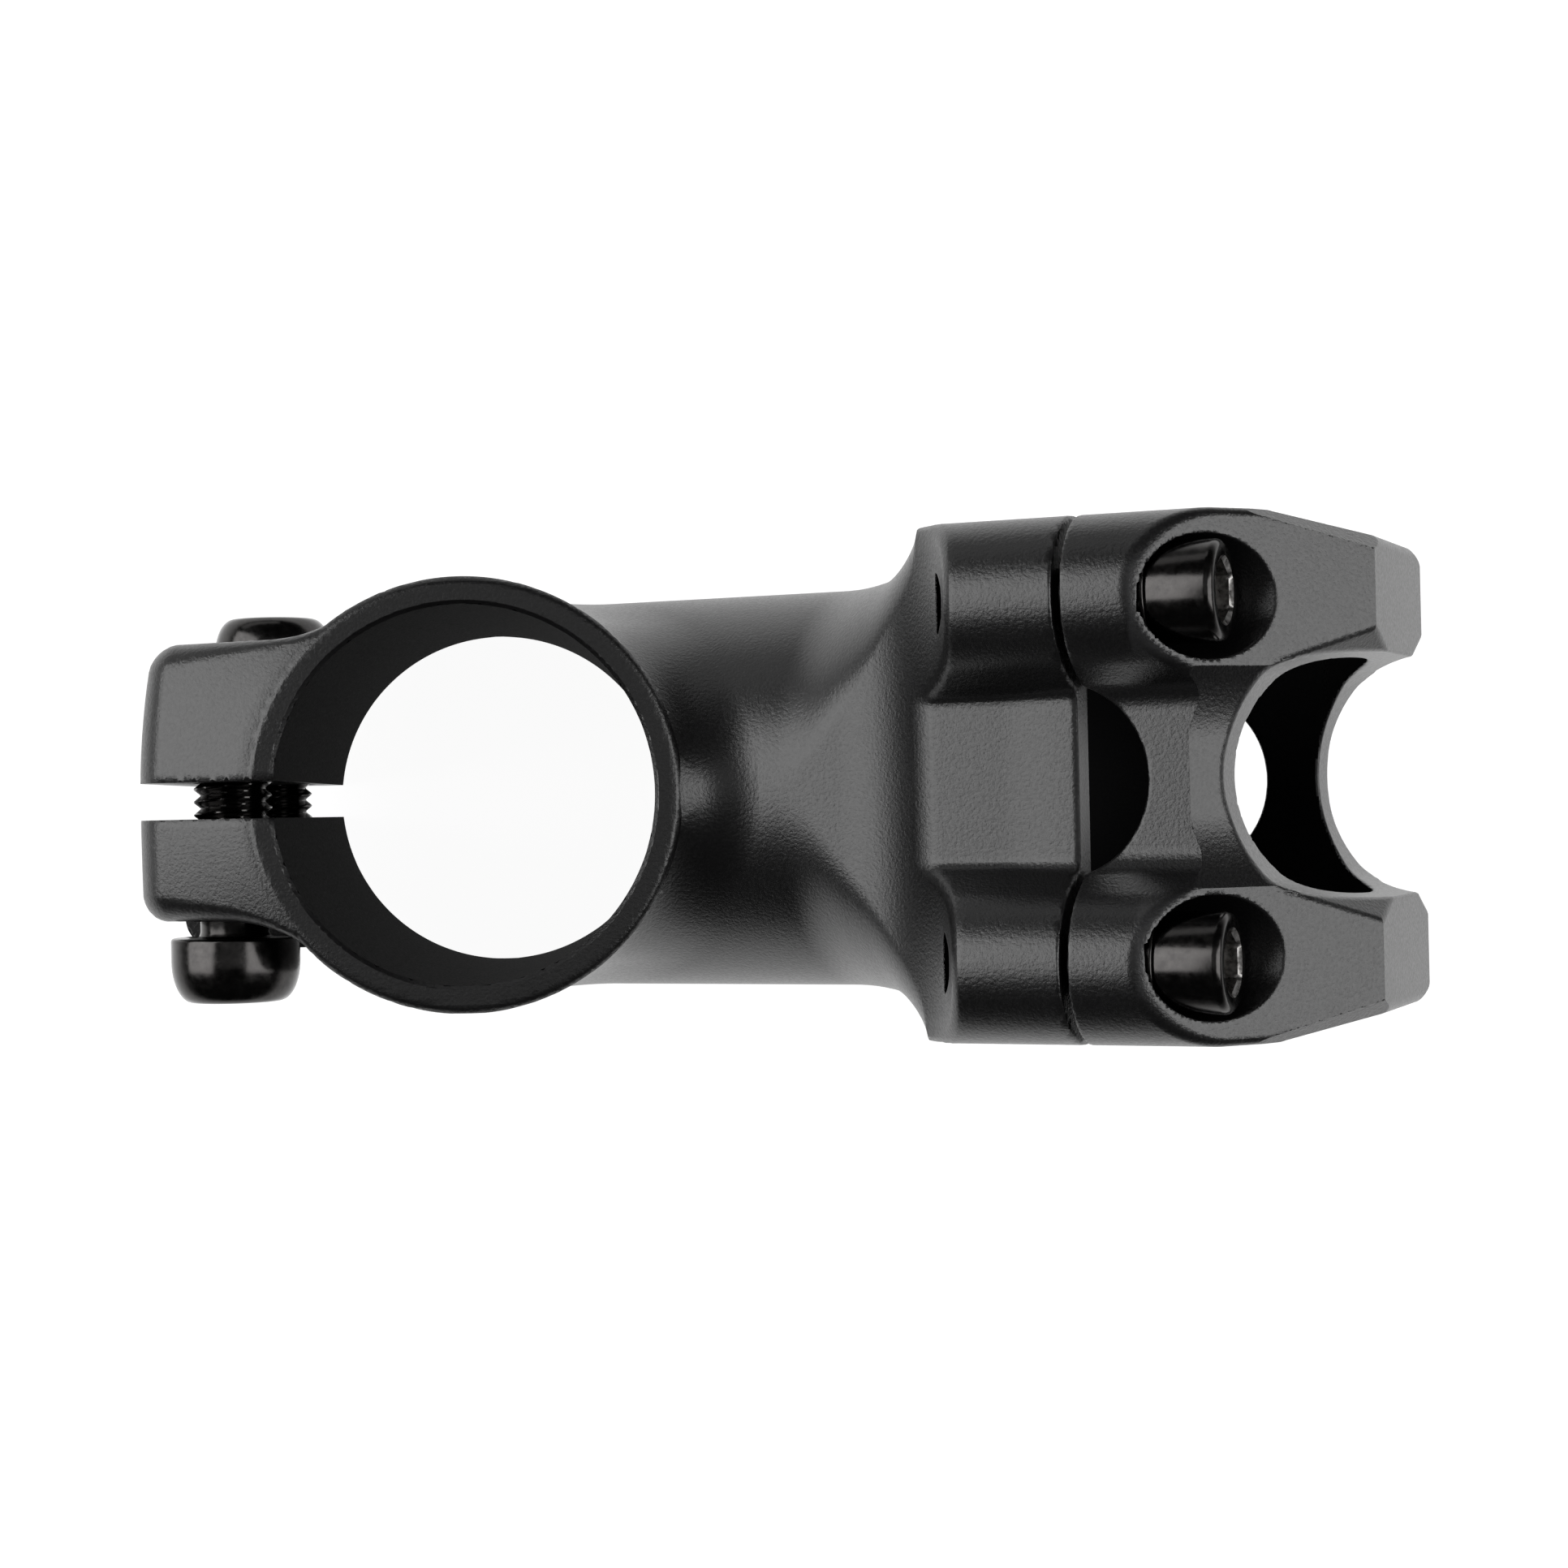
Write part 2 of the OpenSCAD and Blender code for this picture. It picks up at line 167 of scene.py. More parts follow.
FLANK_ANGLE += math.atan2(BOSS_U - PAD_U, BOLT_Y - PAD_HALF)
TAP_R = 2.55
TAP_DEPTH = 9.8

# Faceplate
LAND = 5.4
NOSE_N = 18.8
NOSE_HALF = 8.2
LAND_ROUND = 0.7
BRIDGE_R = BAR_R + 1.9
BRIDGE_CREASE = 2.4
CHANNEL_HALF = 6.0
CHANNEL_COVE = 2.6
WINDOW_HALF = 8.9
BRIDGE_REACH = 9.5
BRIDGE_EDGE_R = 10.6
WINDOW_CORNER = 2.0
WINDOW_EDGE = 0.25
SCALLOP_R = 7.15
SCALLOP_N = 4.7
TAPER_START = 12.5
TAPER_END = 17.05
CORNER_AT = (11.43, 18.57, 16.64)
CORNER_FACING = (0.566, 0.781, 0.265)
INNER_CORNER_AT = (13.50, 8.19, 14.63)
INNER_CORNER_FACING = (0.655, -0.692, 0.302)
INNER_CORNER_IN = 0.6
CRISP_EDGE = 0.0
POCKET_R = 4.35
POCKET_IN = 0.3
POCKET_DOWN = 0.3
POCKET_WALL = 0.4
POCKET_RIM = 0.15
PLATE_HOLE_R = 2.8

# Faceplate bolts and washers
BOLT_HEAD_R = 3.6
BOLT_HEAD_H = 4.8
BOLT_RIM = 0.6
BOLT_BARREL = ((0.02, 2.6), (0.0, 1.2), (-0.06, 0.4))
BOLT_FOOT = 0.2
BOLT_FOOT_IN = 0.26
BOLT_LENGTH = 15.0
BOLT_R = 2.5
BOLT_PITCH = 0.8
BOLT_NECK = 2.0
BOLT_HEX = 4.0
BOLT_SOCKET = 2.6
WASHER_T = 0.8
WASHER_EDGE = 0.2
WASHER_HOLE_R = 2.65
WASHER_HOLE_EDGE = 0.1


# Distance helpers


def fillet_union(a, b, r, lean):
    """Both shapes joined, with a concave fillet of radius r where they meet. The fillet's centre lies r away
    from both, and lean is the cosine of the angle between their outward directions."""
    first = r - a
    second = r - b
    hollow = (first > lean * second) & (second > lean * first)
    squared = (first * first + second * second - 2 * lean * first * second) / (1 - lean * lean)
    return np.where(hollow, r - np.sqrt(np.maximum(squared, 0)), np.minimum(a, b))


def round_common(a, b, r):
    """What two shapes share, with the edge between them rounded to radius r where they meet near square. A
    radius of 0 leaves the edge crisp."""
    return np.minimum(-r, np.maximum(a, b)) + np.hypot(np.maximum(r + a, 0), np.maximum(r + b, 0))


def round_cut(a, hole, r):
    """A shape less a hole, with the hole's mouth rounded to radius r."""
    return round_common(a, -hole, r)


def soft_common(a, b, width):
    """What two shapes share where their faces meet at a flat angle: a parabola eases the crease as long as
    the two distances differ by less than the width."""
    return np.maximum(a, b) + np.maximum(width - np.abs(a - b), 0) ** 2 / (4 * width)


def bevel_cut(a, hole, size):
    """A shape less a hole, with a chamfer of that size round the hole's mouth."""
    return np.maximum(np.maximum(a, -hole), (a - hole + size) / math.sqrt(2))


def eased(share):
    """A share held between 0 and 1, along a curve that starts and ends level."""
    share = np.clip(share, 0, 1)
    return share * share * (3 - 2 * share)


def plane(point, normal, *axes):
    """Signed distance to the plane through a point, positive on the side that the normal points to."""
    length = math.sqrt(sum(part * part for part in normal))
    return sum(part * (axis - at) for part, axis, at in zip(normal, axes, point)) / length


def clamp_frame(x, z):
    """Coordinates n along the extension and u square to it, from the bar axis."""
    n = (x - BAR[0]) * FORWARD[0] + (z - BAR[2]) * FORWARD[2]
    u = (x - BAR[0]) * UPWARD[0] + (z - BAR[2]) * UPWARD[2]
    return n, u


# Forged body


def ear_outline(x, y):
    """Plan of the ears with the tapped side at +Y: flat sides, a leaning back and rounded corners."""
    back = -x - EAR_BACK + EAR_LEAN * np.clip(y / EAR_THREAD_SIDE, 0, 1) ** 2
    sides = np.maximum(y - EAR_THREAD_SIDE, -y - EAR_HEAD_SIDE)
    return np.maximum(round_common(sides, back, EAR_CORNER), x)


def steerer_clamp(x, y, z):
    """Ring with rounded rims, and two pairs of ears whose thick side swaps over at mid height. The ring's
    flat ends run over a soft crease into the tops of the ears, which fall like a cone, with rounder edges."""
    rho = np.hypot(x, y)
    wall = rho - RING_R
    lean = np.minimum(np.abs(y) / np.maximum(rho, STEERER_R), STEEPEST_LEAN)
    height = np.abs(z)
    fall = plane((EAR_FALL_START, RING_HALF), (math.sin(EAR_FALL), math.cos(EAR_FALL)), rho, height)
    roof = soft_common(height - RING_HALF, fall, EAR_CREASE)
    behind = np.clip((-x - STEERER_R) / (EAR_BACK - STEERER_R), 0, 1)
    edge = RIM_ROUND + (EAR_ROUND - RIM_ROUND) * behind
    shape = round_common(wall, height - RING_HALF, RIM_ROUND)
    for row in (1, -1):
        plan = fillet_union(ear_outline(x, row * y), wall, EAR_PLAN_FILLET, lean)
        half = np.maximum(round_common(plan, roof, edge), -row * z - EAR_STEP)
        shape = np.minimum(shape, half)
    return shape


def clamp_section(side, up, crease):
    """Section of the bar clamp seen along the extension: cheeks, a round boss at each corner, and flat pads
    whose edges rise, over a crease of some radius, along flat flanks that touch the bosses."""
    boss = np.hypot(side - BOLT_Y, up - BOSS_U) - BOSS_R
    cheek = np.maximum(up - BOSS_U, side - HALF_WIDTH)
    pad = np.maximum(up - PAD_U, side - BOLT_Y)
    sine, cosine = math.sin(FLANK_ANGLE), math.cos(FLANK_ANGLE)
    flank = plane((PAD_HALF, PAD_U), (-sine, cosine), side, up)
    touch = plane((BOLT_Y, BOSS_U), (cosine, sine), side, up)
    wedge = np.maximum(np.maximum(flank, touch), side - BOLT_Y)
    return np.minimum(np.minimum(boss, cheek), fillet_union(pad, wedge, crease, cosine))


def flare(n, side, up):
    """Trumpet from the round extension into the bar clamp. Across the extension it is a rectangle with round
    corners. Its half height and half width grow along circular arcs, and its corners sharpen from the
    extension's own radius along a curve that starts and ends level. The gap across the extension is shortened
    by the cosine of the upper arc's lean, so that it stays near a true distance."""
    rise = np.clip(n + FLARE_START, 0, FLARE_LIMIT * FLARE_R)
    spread = np.clip(n + SPREAD_START, 0, FLARE_LIMIT * SPREAD_R)
    half_up = TUBE_R + FLARE_R - np.sqrt(FLARE_R ** 2 - rise ** 2)
    half_side = TUBE_R + SPREAD_R - np.sqrt(SPREAD_R ** 2 - spread ** 2)
    corner = TUBE_R + (FLARE_CORNER - TUBE_R) * eased((n + CORNER_START) / (CORNER_START - CORNER_END))
    out_side = side - half_side + corner
    out_up = up - half_up + corner
    inside = np.minimum(np.maximum(out_side, out_up), 0)
    gap = np.hypot(np.maximum(out_side, 0), np.maximum(out_up, 0)) + inside - corner
    past = np.maximum(n + FLARE_START - FLARE_LIMIT * FLARE_R, 0)
    return gap * np.clip(1 - (up - TUBE_R) / FLARE_R, FLARE_LEAST, 1) - past


def rear_clamp(n, y, u):
    """Rear half of the bar clamp: its section run into the flared extension, joined to a drum round the bar,
    and cut to the clamp's width and at the split."""
    up = np.abs(u)
    side = np.abs(y)
    drum = round_common(np.hypot(n, u) - DRUM_R, side - HALF_WIDTH, DRUM_ROUND)
    block = round_common(clamp_section(side, up, PAD_CREASE), flare(n, side, up), RIDGE_ROUND)
    joined = np.maximum(fillet_union(drum, block, DRUM_FILLET, DRUM_LEAN), side - HALF_WIDTH)
    return round_common(joined, n + SPLIT, SPLIT_EDGE)


def body_distance(x, y, z):
    """Ring and ears joined to the extension with the rear clamp, less every bore and slot. The fillet between
    ring and extension widens towards the sides, where the two lean the same way. On top it starts at the rim,
    so there it belongs to a wall that lies further in."""
    n, u = clamp_frame(x, z)
    rho = np.hypot(x, y)
    steerer = steerer_clamp(x, y, z)
    off_axis = np.hypot(y, u)
    tube = np.maximum(off_axis - TUBE_R, np.maximum(n + TUBE_END, -n - REACH))
    arm = np.maximum(rear_clamp(n, y, u), -n - REACH)
    lean = (x * u * UPWARD[0] + y * y) / (np.maximum(rho, STEERER_R) * np.maximum(off_axis, TUBE_CORE))
    lean = np.clip(lean, -STEEPEST_LEAN, STEEPEST_LEAN)
    fillet = np.hypot(ROOT_FILLET, ROOT_REACH * np.sqrt((1 + lean) / (1 - lean)))
    sink = ROOT_SINK * eased((ROOT_SINK_END - lean) / (ROOT_SINK_END - UPWARD[0]))
    root = fillet_union(rho - RING_R + sink, tube, fillet, lean)
    root = np.maximum(round_common(root, np.abs(z) - RING_HALF, RIM_ROUND), -x)
    shape = np.minimum(np.minimum(steerer, arm), root)
    shape = bevel_cut(shape, rho - STEERER_R, RIM_CHAMFER)
    shape = round_cut(shape, np.maximum(np.abs(y) - SLOT_HALF, x), SLOT_EDGE)
    for row in (1, -1):
        axis = np.hypot(x - PINCH_X, z - row * PINCH_Z)
        out = -row * y
        hole = np.maximum(axis - PINCH_HOLE_R, -out)
        tap = np.maximum(axis - PINCH_TAP_R, out)
        spot = np.maximum(axis - SPOT_R, EAR_HEAD_SIDE - SPOT_GAP - out)
        shape = np.maximum(bevel_cut(shape, np.minimum(hole, tap), SLOT_EDGE), -spot)
    shape = round_cut(shape, np.hypot(n, u) - BAR_R, BORE_EDGE)
    tapped = np.hypot(np.abs(y) - BOLT_Y, np.abs(u) - BOLT_U) - TAP_R
    return np.maximum(shape, -np.maximum(tapped, -n - TAP_DEPTH))


# Faceplate


def plate_outside(n, side, up):
    """Lobes and bridges before any cut: the clamp's section under a slope, a flat nose, tapered sides and a
    facet across each outer corner."""
    section = clamp_section(side, up, BRIDGE_CREASE)
    slope = plane((LAND, BOSS_TOP), (BOSS_TOP - NOSE_HALF, NOSE_N - LAND), n, up)
    front = round_common(slope, n - NOSE_N, CRISP_EDGE)
    taper = plane((TAPER_START, HALF_WIDTH), (HALF_WIDTH - TAPER_END, NOSE_N - TAPER_START), n, side)
    shape = round_common(round_common(section, taper, CRISP_EDGE), front, LAND_ROUND)
    facet = plane(CORNER_AT, CORNER_FACING, n, side, up)
    shape = round_common(shape, facet, CRISP_EDGE)
    return round_common(shape, SPLIT - n, SPLIT_EDGE)


def plate_distance(x, y, z):
    """Faceplate: lobes less the channel between them, the window with a facet at each inner corner, the
    scallops, the bar bore, the bolt pockets, which keep a wall to that bore, and the bolt holes."""
    n, u = clamp_frame(x, z)
    side = np.abs(y)
    up = np.abs(u)
    shape = plate_outside(n, side, up)
    over = plane((0, 0), (BOSS_TOP - NOSE_HALF, NOSE_N - LAND), n, up) - BRIDGE_R
    flank = (side - CHANNEL_HALF - over) / math.sqrt(2)
    channel = round_common(-over, flank, CHANNEL_COVE)
    shape = round_cut(shape, channel, CRISP_EDGE)
    centre = BRIDGE_REACH + BRIDGE_EDGE_R
    notch = np.minimum(np.hypot(n - centre, y) - BRIDGE_EDGE_R, centre - n)
    notch = round_common(notch, side - WINDOW_HALF, WINDOW_CORNER)
    shape = round_cut(shape, notch, WINDOW_EDGE)
    inner_facet = -plane(INNER_CORNER_AT, INNER_CORNER_FACING, n, side, up)
    shape = round_cut(shape, np.maximum(inner_facet, WINDOW_HALF - INNER_CORNER_IN - side), WINDOW_EDGE)
    scallop = np.hypot(n - SCALLOP_N + SCALLOP_R, y) - SCALLOP_R
    shape = round_cut(shape, scallop, WINDOW_EDGE)
    bore = np.hypot(n, u) - BAR_R
    shape = round_cut(shape, bore, BORE_EDGE)
    axis = np.hypot(side - BOLT_Y, up - BOLT_U)
    pocket = np.hypot(side - BOLT_Y + POCKET_IN, up - BOLT_U + POCKET_DOWN) - POCKET_R
    pocket = np.maximum(np.maximum(pocket, SEAT_N - n), POCKET_WALL - bore)
    shape = round_cut(shape, pocket, POCKET_RIM)
    return np.maximum(shape, -(axis - PLATE_HOLE_R))


# Zero surface of a distance function


# GRID_MARGIN and GRID_SPARE count grid steps.
GRADIENT_STEP = 0.02
LEAST_LENGTH = 1e-12
LEAST_SLOPE = 0.2
GRID_MARGIN = 2.5
GRID_SPARE = 3
CORNER_PULL = 0.3
POINT_HOLD = 0.05
CONVEXITY_DEPTH = 0.5


def gradient(distance, points):
    """Unit direction in which the distance grows fastest, from differences to both sides."""
    slopes = np.empty_like(points)
    for axis in range(3):
        step = np.zeros(3)
        step[axis] = GRADIENT_STEP
        slopes[..., axis] = distance(*np.moveaxis(points + step, -1, 0))
        slopes[..., axis] -= distance(*np.moveaxis(points - step, -1, 0))
    return slopes / np.maximum(np.linalg.norm(slopes, axis=-1, keepdims=True), LEAST_LENGTH)


def crossings(distance, field, low, step, axis):
    """Grid edges along one axis that pass through the surface: start cell, point, normal and direction. The
    point is found in proportion to the distances at the edge's ends and moved once along the edge by what is
    left of the distance, unless the surface runs almost along the edge."""
    inside = field < 0
    ahead = np.roll(inside, -1, axis)
    start = np.argwhere(inside != ahead)
    start = start[start[:, axis] < field.shape[axis] - 1]
    unit = np.zeros(3, dtype=int)
    unit[axis] = 1
    first = field[tuple(start.T)]
    second = field[tuple((start + unit).T)]
    share = first / (first - second)
    points = low + step * (start + share[:, None] * unit)
    normals = gradient(distance, points)
    along = np.where(np.abs(normals[:, axis]) > LEAST_SLOPE, normals[:, axis], np.inf)
    points[:, axis] -= distance(*points.T) / along
    return start, points, normals, first < 0


def zero_surface(distance, low, high, step):
    """Mesh of the zero surface: a point in each grid cell that it passes through, placed where the tangent
    planes at the cell's crossings meet, and a four-sided face round each grid edge that it crosses. Each
    face corner takes its normal from the distance a little inside the face, so that edges stay crisp."""
    low = np.asarray(low) - GRID_MARGIN * step
    counts = np.ceil((np.asarray(high) - low) / step).astype(int) + GRID_SPARE
    x, y, z = (low[axis] + step * np.arange(counts[axis]) for axis in range(3))
    field = distance(x[:, None, None], y[None, :, None], z[None, None, :])
    cells, points, normals, rings = [], [], [], []
    for axis in range(3):
        start, at, normal, outward = crossings(distance, field, low, step, axis)
        second, third = (axis + 1) % 3, (axis + 2) % 3
        ring = []
        for back_second, back_third in ((1, 1), (0, 1), (0, 0), (1, 0)):
            cell = start.copy()
            cell[:, second] -= back_second
            cell[:, third] -= back_third
            ring.append(np.ravel_multi_index(cell.T, counts))
            cells.append(ring[-1])
            points.append(at)
            normals.append(normal)
        ring = np.stack(ring, axis=1)
        rings.append(np.where(outward[:, None], ring, ring[:, ::-1]))
    cells, index = np.unique(np.concatenate(cells), return_inverse=True)
    points = np.concatenate(points)
    normals = np.concatenate(normals)
    total = np.bincount(index).astype(float)
    middle = np.stack([np.bincount(index, points[:, k]) for k in range(3)], axis=1) / total[:, None]
    reach = np.sum(normals * (points - middle[index]), axis=1)
    matrix = np.empty((len(cells), 3, 3))
    right = np.empty((len(cells), 3))
    for k in range(3):
        right[:, k] = np.bincount(index, normals[:, k] * reach)
        for m in range(3):
            matrix[:, k, m] = np.bincount(index, normals[:, k] * normals[:, m])
    matrix += POINT_HOLD * np.eye(3)
    vertices = middle + np.linalg.solve(matrix, right[:, :, None])[:, :, 0]
    corner = low + step * np.stack(np.unravel_index(cells, counts), axis=1)
    vertices = np.clip(vertices, corner, corner + step)
    faces = np.searchsorted(cells, np.concatenate(rings))
    corners = vertices[faces]
    centres = corners.mean(axis=1, keepdims=True)
    return vertices, faces, gradient(distance, corners + CORNER_PULL * (centres - corners))


def edge_convexity(distance, vertices):
    """How sharply the metal turns at each point: 0 on a flat, towards 1 on a convex edge. A point is moved
    inwards by a set depth, and this is the share of that depth which it then lacks."""
    sunk = vertices - CONVEXITY_DEPTH * gradient(distance, vertices)
    return np.clip(distance(*sunk.T) / CONVEXITY_DEPTH + 1, 0, 1)


# Putting pieces together


SHARP_ANGLE = math.radians(38)


def add_object(name, data):
    """Object of a mesh, a lamp or a camera, in the scene."""
    made = bpy.data.objects.new(name, data)
    bpy.context.scene.collection.objects.link(made)
    return made


def finish_piece(piece, body, nodes):
    """Rides a piece on its body in place of its CAD nodes."""
    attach(piece, body)
    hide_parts(*nodes)


def forged_piece(name, distance, low, high, step, materials, bores):
    """Mesh object of a distance function, whose bores take the second material."""
    vertices, faces, normals = zero_surface(distance, low, high, step)
    mesh = bpy.data.meshes.new(name)
    mesh.vertices.add(len(vertices))
    mesh.vertices.foreach_set("co", (vertices * MM).ravel())
    mesh.loops.add(faces.size)
    mesh.loops.foreach_set("vertex_index", faces.ravel())
    mesh.polygons.add(len(faces))
    mesh.polygons.foreach_set("loop_start", np.arange(0, faces.size, 4))
    centres = vertices[faces].mean(axis=1)
    mesh.polygons.foreach_set("material_index", bores(*centres.T).astype(np.int32))
    mesh.polygons.foreach_set("use_smooth", np.ones(len(faces), dtype=bool))
    mesh.update(calc_edges=True)
    mesh.normals_split_custom_set(normals.reshape(-1, 3))
    # How convex each point is, which the anodising uses to paint a highlight along convex edges.
    convexity = mesh.attributes.new("edge_convexity", "FLOAT", "POINT")
    convexity.data.foreach_set("value", edge_convexity(distance, vertices))
    for material in materials:
        mesh.materials.append(material)
    return add_object(name, mesh)


def turned_piece(name, rings, faces_by_row, frame_axes, origin, materials, closed):
    """Mesh object of a profile turned about an axis. rings holds radius, height and angle arrays, one row per
    profile point and one column per direction round the axis. A point lies at radius times the angle's cosine
    and sine along the first two frame axes, and at its height along the third. A closed profile joins its
    last row to its first, and an open one ends in a point on the axis at each end."""
    radius, height, angle = rings
    local = np.stack([radius * np.cos(angle), radius * np.sin(angle), height], axis=-1)
    rows, columns = radius.shape
    points = local.reshape(-1, 3)
    index = np.arange(rows * columns).reshape(rows, columns)
    lower = index if closed else index[:-1]
    upper = np.roll(index, -1, axis=0) if closed else index[1:]
    quads = np.stack([lower, np.roll(lower, -1, axis=1), np.roll(upper, -1, axis=1), upper], axis=-1)
    faces = quads.reshape(-1, 4).tolist()
    row_material = np.repeat(faces_by_row[:len(lower)], columns).tolist()
    if not closed:
        tips = np.array([[0, 0, height[0].mean()], [0, 0, height[-1].mean()]])
        points = np.concatenate([points, tips])
        first = np.full(columns, rows * columns)
        faces += np.stack([first, np.roll(index[0], -1), index[0]], axis=-1).tolist()
        faces += np.stack([first + 1, index[-1], np.roll(index[-1], -1)], axis=-1).tolist()
        row_material += [faces_by_row[0]] * columns + [faces_by_row[-1]] * columns
    world = origin + points @ np.stack(frame_axes)
    mesh = bpy.data.meshes.new(name)
    mesh.from_pydata((world * MM).tolist(), [], faces)
    mesh.polygons.foreach_set("material_index", np.array(row_material, dtype=np.int32))
    mesh.shade_smooth()
    mesh.set_sharp_from_angle(angle=SHARP_ANGLE)
    for material in materials:
        mesh.materials.append(material)
    return add_object(name, mesh)


# Bolts and washers


# DRILL_POINT and DRILL_R are shares of half the hexagon. NECK_DEPTH, THREAD_DEPTH and TIP_FADE are shares of
# the pitch. THREAD_FLAT is the share of its height by which the thread is cut at crest and root.
TURN = 96
DRILL_TIP_R = 0.3
DRILL_POINT = 0.55
DRILL_R = 0.75
DRILL_STEP = 0.1
SOCKET_ROWS = (0.6, 0.25, 0.02)
SOCKET_LIP = 0.12
NECK_DEPTH = 0.325
NECK_FILLET = ((0.35, 0.0), (0.1, -0.12), (0.0, -0.4))
NECK_END = 0.2
THREAD_ROWS = 10
THREAD_DEPTH = 0.5
THREAD_FLAT = 0.125
TIP_FADE = 1.2
TIP_INSET = 0.1


def arc(centre_r, centre_h, radial, axial, start, end, count):
    """Points of an elliptical arc in a profile: radius and height against angle, in degrees."""
    angle = np.radians(np.linspace(start, end, count))
    return np.stack([centre_r + radial * np.cos(angle), centre_h + axial * np.sin(angle)], axis=1)


def socket_bolt(hexagon, socket_depth, head, head_h, shank_r, pitch, length, neck):
    """Rows of a socket bolt from the bottom of its hexagon socket, over the head and down the thread to the
    tip, and the finish of each row. The socket's radius follows a hexagon round the axis, above a drill's
    cone. The thread's radius is a triangle wave of height and angle together, cut flat at crest and root,
    which is a right-hand helix, and it fades at the tip. Height 0 is the underside of the head."""
    angle = np.linspace(0, 2 * math.pi, TURN, endpoint=False)
    flat = hexagon / 2
    corner = hexagon / math.sqrt(3)
    floor_h = head_h - socket_depth
    wall_h, bevel_h, mouth_h = (head_h - below for below in SOCKET_ROWS)
    socket = np.array([[DRILL_TIP_R, floor_h - DRILL_POINT * flat], [DRILL_R * flat, floor_h - DRILL_STEP],
                       [flat, floor_h], [flat, wall_h], [flat, bevel_h], [corner + SOCKET_LIP, mouth_h]])
    share = np.array([0.0, 0.0, 1.0, 1.0, 1.0, 0.0])
    hex_r = flat / np.cos(np.mod(angle, math.pi / 3) - math.pi / 6)
    socket_r = socket[:, :1] + share[:, None] * (hex_r[None, :] - flat)
    neck_r = shank_r - NECK_DEPTH * pitch
    neck_rows = [[neck_r + out, level] for out, level in NECK_FILLET]
    outer = np.concatenate([head, neck_rows, [[neck_r, NECK_END - neck]]])
    count = int((length - neck) / pitch * THREAD_ROWS)
    height = np.linspace(-neck, -length, count)
    phase = np.mod(height[:, None] / pitch - angle[None, :] / (2 * math.pi), 1.0)
    wave = np.abs(2 * phase - 1)
    crest = np.clip((1 + 2 * THREAD_FLAT) * wave - THREAD_FLAT, 0, 1)
    tip_fade = np.clip((height + length) / (TIP_FADE * pitch), 0, 1)[:, None]
    depth = THREAD_DEPTH * pitch
    thread_r = shank_r - depth - TIP_INSET + (TIP_INSET + depth * crest) * tip_fade
    radius = np.concatenate([socket_r, np.repeat(outer[:, :1], TURN, axis=1), thread_r])
    level = np.concatenate([socket[:, 1], outer[:, 1], height])
    rings = radius, np.repeat(level[:, None], TURN, axis=1), np.repeat(angle[None, :], len(level), axis=0)
    finish = np.zeros(len(level), dtype=int)
    finish[:len(socket) - 1] = 1
    return rings, finish


def faceplate_bolt_head():
    """Head profile from the socket's mouth out to the rim, down a barrel side and in under the head."""
    rim = arc(BOLT_HEAD_R - BOLT_RIM, BOLT_HEAD_H - BOLT_RIM, BOLT_RIM, BOLT_RIM, 90, 0, 8)
    side = [[BOLT_HEAD_R + out, level] for out, level in BOLT_BARREL]
    foot = arc(BOLT_HEAD_R - BOLT_FOOT_IN, BOLT_FOOT, BOLT_FOOT, BOLT_FOOT, 0, -90, 5)
    return np.concatenate([rim, side, foot])


def pinch_bolt_head():
    """Head profile from the socket's mouth over a wide elliptical shoulder and down to a short straight
    foot with a rounded edge."""
    shoulder = arc(PINCH_HEAD_R - PINCH_SHOULDER_R, PINCH_HEAD_H - PINCH_SHOULDER_H,
                   PINCH_SHOULDER_R, PINCH_SHOULDER_H, 90, 0, 14)
    foot = arc(PINCH_HEAD_R - PINCH_FOOT, PINCH_FOOT, PINCH_FOOT, PINCH_FOOT, 0, -90, 5)
    return np.concatenate([shoulder, foot])


def washer_rings():
    """Closed section of a flat washer, turned about its axis: rounded outer edges and a bevelled hole."""
    outer = BOLT_HEAD_R - WASHER_EDGE
    hole_end = WASHER_HOLE_R + WASHER_HOLE_EDGE
    section = np.concatenate([
        arc(outer, WASHER_EDGE, WASHER_EDGE, WASHER_EDGE, -90, 0, 5),
        arc(outer, WASHER_T - WASHER_EDGE, WASHER_EDGE, WASHER_EDGE, 0, 90, 5),
        [[hole_end, WASHER_T], [WASHER_HOLE_R, WASHER_T - WASHER_HOLE_EDGE],
         [WASHER_HOLE_R, WASHER_HOLE_EDGE], [hole_end, 0.0]],
    ])
    angle = np.linspace(0, 2 * math.pi, TURN, endpoint=False)
    radius = np.repeat(section[:, :1], TURN, axis=1)
    height = np.repeat(section[:, 1:], TURN, axis=1)
    return radius, height, np.repeat(angle[None, :], len(section), axis=0)


# Finishes


NOISE_SPAN = (0.3, 0.7)


def new_material(name):
    """Node material as Blender makes it, with its node tree and its Principled shader."""
    material = bpy.data.materials.new(name)
    material.use_nodes = True
    return material, material.node_tree, material.node_tree.nodes["Principled BSDF"]


def noise(tree, scale, detail, roughness=0.5):
    """Noise on the piece's own coordinates; scale is in repeats per metre."""
    place = tree.nodes.new("ShaderNodeTexCoord")
    texture = tree.nodes.new("ShaderNodeTexNoise")
    texture.inputs["Scale"].default_value = scale
    texture.inputs["Detail"].default_value = detail
    texture.inputs["Roughness"].default_value = roughness
    tree.links.new(place.outputs["Object"], texture.inputs["Vector"])
    return texture.outputs["Fac"]


def ramp(tree, value, limits, ends=(0, 1)):
    """Maps a value between two limits to a number between two ends, in proportion."""
    node = tree.nodes.new("ShaderNodeMapRange")
    for socket, number in zip(("From Min", "From Max", "To Min", "To Max"), (*limits, *ends)):
        node.inputs[socket].default_value = number
    tree.links.new(value, node.inputs["Value"])
    return node.outputs["Result"]


